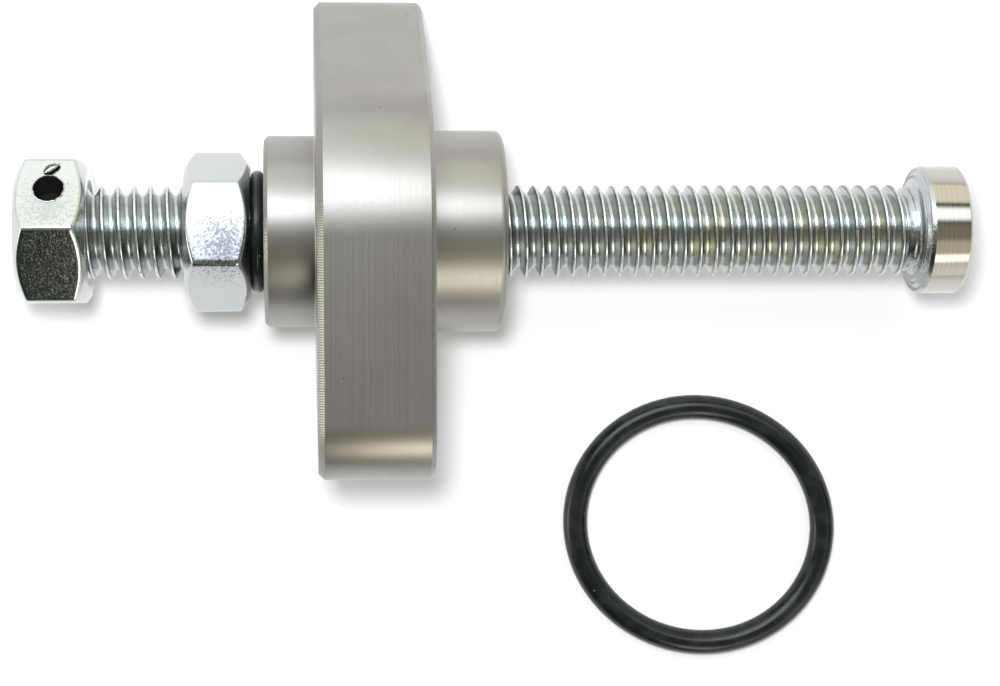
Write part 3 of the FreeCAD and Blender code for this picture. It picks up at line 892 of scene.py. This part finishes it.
def nut_bmesh(low, high, roll):
    """A hexagonal nut between two places along the bolt, with its bore."""
    bm = bmesh.new()
    thickness = high - low
    angles = [FULL_TURN * column / NUT_COLUMNS for column in range(NUT_COLUMNS)]
    rings = []
    for along in nut_stations(thickness):
        points = []
        for angle in angles:
            points.append(around(low + along, nut_radius(angle, along, thickness), angle + roll))
        rings.append(add_ring(bm, points))
    bridge(bm, rings)
    bore = round_corners([
        (low, NUT_FACE_RADIUS - NUT_FACE_LAP),
        (low, BORE_RADIUS + NUT_COUNTERSINK),
        (low + NUT_COUNTERSINK, BORE_RADIUS),
        (high - NUT_COUNTERSINK, BORE_RADIUS),
        (high, BORE_RADIUS + NUT_COUNTERSINK),
        (high, NUT_FACE_RADIUS - NUT_FACE_LAP),
    ], EDGE_ROUND)
    inner = []
    for along, radius in bore:
        inner.append(add_ring(bm, [around(along, radius, angle + roll) for angle in angles]))
    bridge(bm, [rings[0]] + inner + [rings[-1]])
    return bm


def hole_direction():
    """The way out of the wire hole."""
    return around(0, 1, HEAD_NUT_ROLL + HOLE_SKEW)


def hole_frame():
    """The matrix that carries a drill along +Z onto the wire hole, at the bolt's axis."""
    place = Vector(((head_low.x + head_high.x) / 2, 0, 0))
    turn = Vector((0, 0, 1)).rotation_difference(hole_direction()).to_matrix().to_4x4()
    return Matrix.Translation(place) @ turn


def hole_cutter():
    """A drill along the wire hole."""
    bm = bmesh.new()
    bmesh.ops.create_cone(
        bm, cap_ends=True, segments=DRILL_SIDES, radius1=HOLE_RADIUS, radius2=HOLE_RADIUS,
        depth=DRILL_LENGTH, matrix=hole_frame(),
    )
    return to_mesh(bm, "hole_cutter")


def darken_hole(mesh, material):
    """Give a material to the faces that line the wire hole."""
    into = hole_frame().inverted()
    for face in mesh.polygons:
        middle = into @ (face.center / MM)
        within = middle.xy.length < HOLE_RADIUS + HOLE_SLACK
        if within and abs(face.normal.dot(hole_direction())) < HOLE_WALL_SLOPE:
            face.material_index = material


def burr_noise(angle, fineness, layer):
    """A value that varies round the mouth of the wire hole."""
    return noise.noise((fineness * math.cos(angle), fineness * math.sin(angle), layer))


def add_burr(bm, surface, painted_shade):
    """A ragged lip round the mouth of the wire hole, at a height along the drill."""
    place = hole_frame()
    skew = math.tan(HOLE_SKEW)
    spins = [FULL_TURN * side / BURR_SIDES for side in range(BURR_SIDES)]
    rows = []
    for segment in range(BURR_SEGMENTS):
        angle = FULL_TURN * segment / BURR_SEGMENTS
        thick = BURR_THICKNESS + BURR_RAGGED * burr_noise(angle, BURR_COARSE, 0.0)
        reach = HOLE_RADIUS + BURR_OFFSET + BURR_WANDER * burr_noise(angle, BURR_FINE, 4.0)
        row = []
        for spin in spins:
            out = reach + thick * math.cos(spin)
            lip = thick * BURR_FLATNESS * math.sin(spin)
            height = surface + out * math.cos(angle) * skew + lip
            row.append(place @ Vector((out * math.sin(angle), out * math.cos(angle), height)))
        rows.append(add_ring(bm, row))
    # The burr's faces that turn into the hole get the near-black painted shade
    for index, face in enumerate(bridge(bm, rows + [rows[0]])):
        middle = FULL_TURN * (index % BURR_SIDES + 0.5) / BURR_SIDES
        if math.cos(middle) < BURR_INSIDE:
            face.material_index = painted_shade


def add_flake(bm, surface, spread, lift, material):
    """A curled leaf of metal beside the hole, at a height along the drill."""
    place = hole_frame()
    sideways = Vector((0, 0, 1)).cross(FLAKE_END - FLAKE_START).normalized()
    rows = []
    for step in range(FLAKE_LENGTHS + 1):
        share = step / FLAKE_LENGTHS
        belly = math.sin(math.pi * share ** FLAKE_BELLY_PLACE)
        width = spread * (FLAKE_TIP + FLAKE_BELLY * belly)
        rise = surface + lift * (FLAKE_HEEL + math.sin(math.pi * share * FLAKE_BEND))
        row = []
        for side in range(FLAKE_WIDTHS + 1):
            lean = 2 * side / FLAKE_WIDTHS - 1
            curl = (FLAKE_CURL * lean * lean + FLAKE_TWIST * lean) * lift
            point = FLAKE_START.lerp(FLAKE_END, share) + sideways * width * lean
            point.z = rise + curl + point.y * math.tan(HOLE_SKEW)
            row.append(place @ point)
        rows.append(add_ring(bm, row))
    faces = []
    for here, there in zip(rows, rows[1:]):
        for side in range(FLAKE_WIDTHS):
            face = bm.faces.new((here[side], here[side + 1], there[side + 1], there[side]))
            face.material_index = material
            faces.append(face)
    bmesh.ops.solidify(bm, geom=faces, thickness=FLAKE_THICKNESS)


def make_head_nut():
    """The nut on the rod's end, with its wire hole."""
    plated, painted_shade = 0, 1
    blank = to_mesh(nut_bmesh(head_low.x, head_high.x, HEAD_NUT_ROLL), "head_nut", SHARP_ON_HARDWARE)
    mesh = cut(blank, hole_cutter())
    mesh.set_sharp_from_angle(angle=math.radians(SHARP_ON_HARDWARE))
    # The hole's wall gets the near-black painted shade
    darken_hole(mesh, painted_shade)
    trim = bmesh.new()
    surface = NUT_HALF_FLATS / math.cos(HOLE_SKEW)
    add_burr(trim, surface, painted_shade)
    # A wider, flatter leaf in near-black painted shade lies under the plated flake as its painted
    # shadow
    add_flake(trim, surface + 0.01, spread=0.44, lift=0.04, material=painted_shade)
    add_flake(trim, surface + 0.03, spread=0.34, lift=0.26, material=plated)
    join(mesh, to_mesh(trim, "drill_burr", SHARP_ON_BURR))
    zinc = make_zinc(
        "zinc_head_nut",
        cool=(0.59, 0.626, 0.598),
        warm=(0.616, 0.644, 0.598),
        stain=(0.46, 0.49, 0.46),
        stain_place=(-36.7, 2.2, 5.8),
        roughness=0.11,
        grain_depth=0.016,
    )
    materials = [zinc, make_painted_shade("painted_shade_nut_hole")]
    add_piece("drilled_nut", mesh, materials, "adjuster", "head_nut")


def make_lock_nut():
    """The nut that locks the screw against the boss."""
    mesh = to_mesh(nut_bmesh(lock_low.x, lock_high.x, LOCK_NUT_ROLL), "lock_nut", SHARP_ON_HARDWARE)
    zinc = make_zinc(
        "zinc_lock_nut",
        cool=(0.522, 0.56, 0.56),
        warm=(0.541, 0.573, 0.547),
        stain=(0.20, 0.20, 0.225),
        stain_place=(-19.9, -1.1, 6.8),
        roughness=0.12,
        grain_depth=0.006,
    )
    add_piece("locking_nut", mesh, [zinc], "lock_nut", "lock_nut")


# O-rings

def ring_bmesh(centre, axes, cord, radius_at, turn, segments):
    """A round cord bent into a ring in the plane of the first two of three directions."""
    bm = bmesh.new()
    across, along, upright = axes
    rows = []
    for segment in range(segments):
        angle = FULL_TURN * segment / segments
        outward = across * math.cos(angle + turn) + along * math.sin(angle + turn)
        middle = centre + outward * radius_at(angle)
        row = []
        for side in range(CORD_SIDES):
            spin = FULL_TURN * side / CORD_SIDES
            row.append(middle + cord * (outward * math.cos(spin) + upright * math.sin(spin)))
        rows.append(add_ring(bm, row))
    bridge(bm, rows + [rows[0]])
    return bm


def make_small_ring(rubber):
    """The ring on the thread, between the lock nut and the boss."""
    cord = (small_ring_high.x - small_ring_low.x) / 2
    radius = small_ring_high.z - cord
    centre = Vector(((small_ring_low.x + small_ring_high.x) / 2, 0, 0))
    axes = (Vector((0, 1, 0)), Vector((0, 0, 1)), Vector((1, 0, 0)))
    ring = ring_bmesh(centre, axes, cord, lambda angle: radius, 0.0, SMALL_RING_SEGMENTS)
    mesh = to_mesh(ring, "small_o_ring")
    add_piece("small_o_ring", mesh, [rubber], "thread_seal", "thread_seal")


def large_ring_radius(angle):
    """The larger ring's radius, a little oval as it lies."""
    return LARGE_RING_RADIUS + LARGE_RING_OVAL * math.cos(2 * angle)


def make_large_ring(rubber):
    """The ring that lies on the ground beside the tensioner."""
    cord = (large_ring_high.z - large_ring_low.z) / 2
    centre = (large_ring_low + large_ring_high) / 2
    axes = (Vector((1, 0, 0)), Vector((0, 1, 0)), Vector((0, 0, 1)))
    ring = ring_bmesh(centre, axes, cord, large_ring_radius, LARGE_RING_TURN, LARGE_RING_SEGMENTS)
    mesh = to_mesh(ring, "large_o_ring")
    add_piece("large_o_ring", mesh, [rubber], "housing", "flange_seal")


# Stage

def make_camera():
    """The photograph's view, from above."""
    forward = Vector((
        math.sin(CAMERA_TILT) * math.cos(CAMERA_LEAN),
        math.sin(CAMERA_LEAN),
        -math.cos(CAMERA_TILT) * math.cos(CAMERA_LEAN),
    )).normalized()
    right = forward.cross(Vector((0, 1, 0))).normalized()
    up = right.cross(forward)
    turn = Matrix((right, up, -forward)).transposed() @ Matrix.Rotation(CAMERA_ROLL, 3, "Z")
    data = bpy.data.cameras.new("camera")
    data.sensor_fit = "HORIZONTAL"
    data.sensor_width = SENSOR_WIDTH
    data.lens = FOCAL_PIXELS / PHOTO_WIDTH * SENSOR_WIDTH
    data.clip_start = CAMERA_CLIP_START
    camera = add_object("camera", data)
    place = (CAMERA_TARGET - forward * CAMERA_DISTANCE) * MM
    camera.matrix_world = Matrix.Translation(place) @ turn.to_4x4()
    bpy.context.scene.camera = camera
    return camera


def shown_white(tree):
    """1 for what the camera, a mirror or glass sees directly."""
    rays = add_node(tree, "ShaderNodeLightPath").outputs
    seen = math_node(tree, "MAXIMUM", rays["Is Camera Ray"], rays["Is Glossy Ray"])
    return math_node(tree, "MAXIMUM", seen, rays["Is Transmission Ray"])


def make_floor():
    """The white ground that takes the shadows."""
    bm = bmesh.new()
    bmesh.ops.create_grid(bm, x_segments=1, y_segments=1, size=FLOOR_REACH)
    for vert in bm.verts:
        vert.co.z = FLOOR_LEVEL
    floor = add_object("floor", to_mesh(bm, "floor"))
    material = bpy.data.materials.new("white_ground")
    material.use_nodes = True
    tree = material.node_tree
    tree.nodes.clear()
    paper = add_node(tree, "ShaderNodeBsdfDiffuse", {"Color": FLOOR_COLOUR})
    strength = math_node(tree, "MULTIPLY", shown_white(tree), FLOOR_GLOW)
    glow = add_node(tree, "ShaderNodeEmission", {"Strength": strength})
    both = add_node(tree, "ShaderNodeAddShader", {0: paper.outputs[0], 1: glow.outputs[0]})
    output = add_node(tree, "ShaderNodeOutputMaterial", {"Surface": both.outputs[0]})
    output.is_active_output = True
    floor.data.materials.append(material)


def band(tree, value, low, high, soft):
    """1 between two angles in degrees, with soft edges."""
    low, high, soft = (math.radians(angle) for angle in (low, high, soft))
    rise = ramp(tree, value, low - soft, low + soft)
    fall = ramp(tree, value, high - soft, high + soft, start=1.0, end=0.0)
    return math_node(tree, "MULTIPLY", rise, fall)


def make_world():
    """A studio round the object, dim overhead, with the lights that its metal mirrors."""
    world = bpy.data.worlds.new("studio")
    bpy.context.scene.world = world
    world.use_nodes = True
    tree = world.node_tree
    tree.nodes.clear()
    direction = add_node(tree, "ShaderNodeTexCoord").outputs["Generated"]
    axes = add_node(tree, "ShaderNodeSeparateXYZ", {0: direction}).outputs
    to_back = math_node(tree, "ARCTAN2", axes["Y"], axes["Z"])
    to_foot = math_node(tree, "ARCSINE", axes["X"])
    shader = add_node(tree, "ShaderNodeBackground", {"Color": WORLD_COLOUR}).outputs[0]
    for tint, strength, across, along in WORLD_LIGHTS:
        share = math_node(tree, "MULTIPLY", band(tree, to_back, *across), band(tree, to_foot, *along))
        light = add_node(tree, "ShaderNodeBackground", {
            "Color": (*tint, 1), "Strength": math_node(tree, "MULTIPLY", share, strength),
        }).outputs[0]
        shader = add_node(tree, "ShaderNodeAddShader", {0: shader, 1: light}).outputs[0]
    add_node(tree, "ShaderNodeOutputWorld", {"Surface": shader})


def make_shadow_lamp(camera):
    """A small soft lamp beside the camera, which gives the ground its shadows."""
    data = bpy.data.lights.new("shadow_lamp", "AREA")
    data.shape = "DISK"
    data.size = LAMP_SIZE * MM
    data.energy = LAMP_POWER
    lamp = add_object("shadow_lamp", data)
    lamp.matrix_world = camera.matrix_world @ Matrix.Translation(LAMP_OFFSET * MM)
    lamp.visible_glossy = False


make_housing()
make_screw()
make_head_nut()
make_lock_nut()
seal_rubber = make_rubber()
make_small_ring(seal_rubber)
make_large_ring(seal_rubber)
make_shadow_lamp(make_camera())
make_floor()
make_world()
bpy.context.scene.view_settings.view_transform = "Standard"
